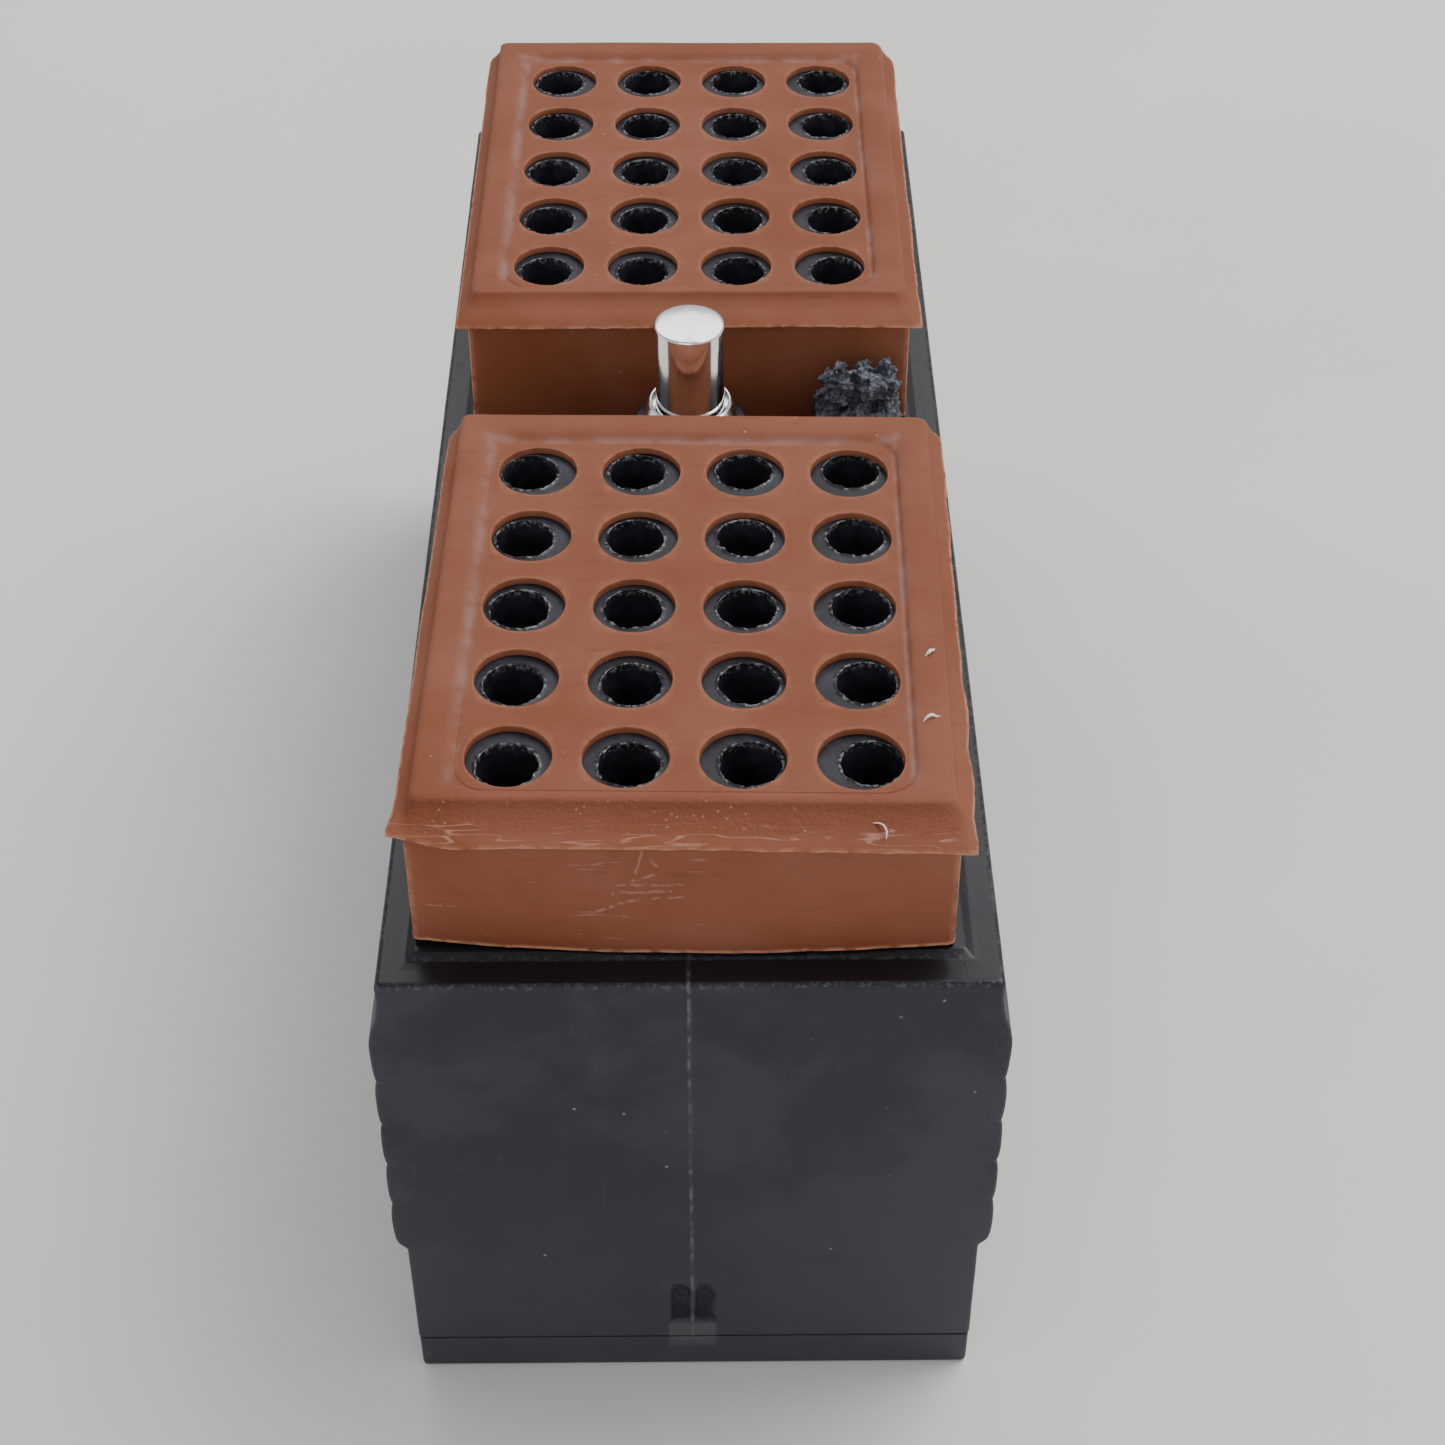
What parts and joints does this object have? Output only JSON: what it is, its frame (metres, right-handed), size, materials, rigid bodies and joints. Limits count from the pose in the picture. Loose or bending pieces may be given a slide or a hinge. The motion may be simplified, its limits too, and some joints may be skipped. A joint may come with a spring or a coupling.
{
  "type": "sealed rectangular connector plug",
  "caption": "Sealed rectangular cable connector plug: silicone-faced contact blocks in a ribbed black housing, with a captive jackscrew between them.",
  "frame": {"origin": "middle of the base, on the surface the plug stands on", "axes": "+Z in the mating direction, +Y along the long side, +X across"},
  "size_m": [0.0396, 0.1004, 0.0529],
  "materials": {
    "black_plastic": "moulded, matte, scuffed",
    "insert_plastic": "moulded, satin",
    "rust_silicone": "satin silicone, dusty",
    "bright_steel": "bright plated",
    "clip_bronze": "bare spring bronze",
    "nitrile": "satin",
    "key_plastic": "rough, cut back"
  },
  "bodies": {
    "shell": {"housing": "black_plastic", "rear_cover": "black_plastic", "interface_seal_front": "rust_silicone", "interface_seal_back": "rust_silicone", "contact_insert_front": "insert_plastic", "contact_insert_back": "insert_plastic", "clip_carrier_front": "insert_plastic", "clip_carrier_back": "insert_plastic", "wire_grommet_front": "rust_silicone", "wire_grommet_back": "rust_silicone", "guide_sleeve": "bright_steel", "shank_o_ring": "nitrile", "polarising_key": "key_plastic", "contact_clip_front_r1c1": "clip_bronze", "contact_clip_front_r1c2": "clip_bronze", "contact_clip_front_r1c3": "clip_bronze", "contact_clip_front_r1c4": "clip_bronze", "contact_clip_front_r2c1": "clip_bronze", "contact_clip_front_r2c2": "clip_bronze", "contact_clip_front_r2c3": "clip_bronze", "contact_clip_front_r2c4": "clip_bronze", "contact_clip_front_r3c1": "clip_bronze", "contact_clip_front_r3c2": "clip_bronze", "contact_clip_front_r3c3": "clip_bronze", "contact_clip_front_r3c4": "clip_bronze", "contact_clip_front_r4c1": "clip_bronze", "contact_clip_front_r4c2": "clip_bronze", "contact_clip_front_r4c3": "clip_bronze", "contact_clip_front_r4c4": "clip_bronze", "contact_clip_front_r5c1": "clip_bronze", "contact_clip_front_r5c2": "clip_bronze", "contact_clip_front_r5c3": "clip_bronze", "contact_clip_front_r5c4": "clip_bronze", "contact_clip_back_r1c1": "clip_bronze", "contact_clip_back_r1c2": "clip_bronze", "contact_clip_back_r1c3": "clip_bronze", "contact_clip_back_r1c4": "clip_bronze", "contact_clip_back_r2c1": "clip_bronze", "contact_clip_back_r2c2": "clip_bronze", "contact_clip_back_r2c3": "clip_bronze", "contact_clip_back_r2c4": "clip_bronze", "contact_clip_back_r3c1": "clip_bronze", "contact_clip_back_r3c2": "clip_bronze", "contact_clip_back_r3c3": "clip_bronze", "contact_clip_back_r3c4": "clip_bronze", "contact_clip_back_r4c1": "clip_bronze", "contact_clip_back_r4c2": "clip_bronze", "contact_clip_back_r4c3": "clip_bronze", "contact_clip_back_r4c4": "clip_bronze", "contact_clip_back_r5c1": "clip_bronze", "contact_clip_back_r5c2": "clip_bronze", "contact_clip_back_r5c3": "clip_bronze", "contact_clip_back_r5c4": "clip_bronze"},
    "jackscrew_float": {"retaining_ring": "bright_steel", "thrust_washer": "bright_steel"},
    "jackscrew_turn": {"jackscrew": "bright_steel"}
  },
  "joints": [
    {"name": "jackscrew_lift", "type": "slide", "parent": "shell", "child": "jackscrew_float", "axis": [0, 0, 1], "range_m": [0, 0.0015]},
    {"name": "jackscrew_spin", "type": "hinge", "parent": "jackscrew_float", "child": "jackscrew_turn", "pos_m": [0, 0, 0.03], "axis": [0, 0, 1], "continuous": true}
  ]
}
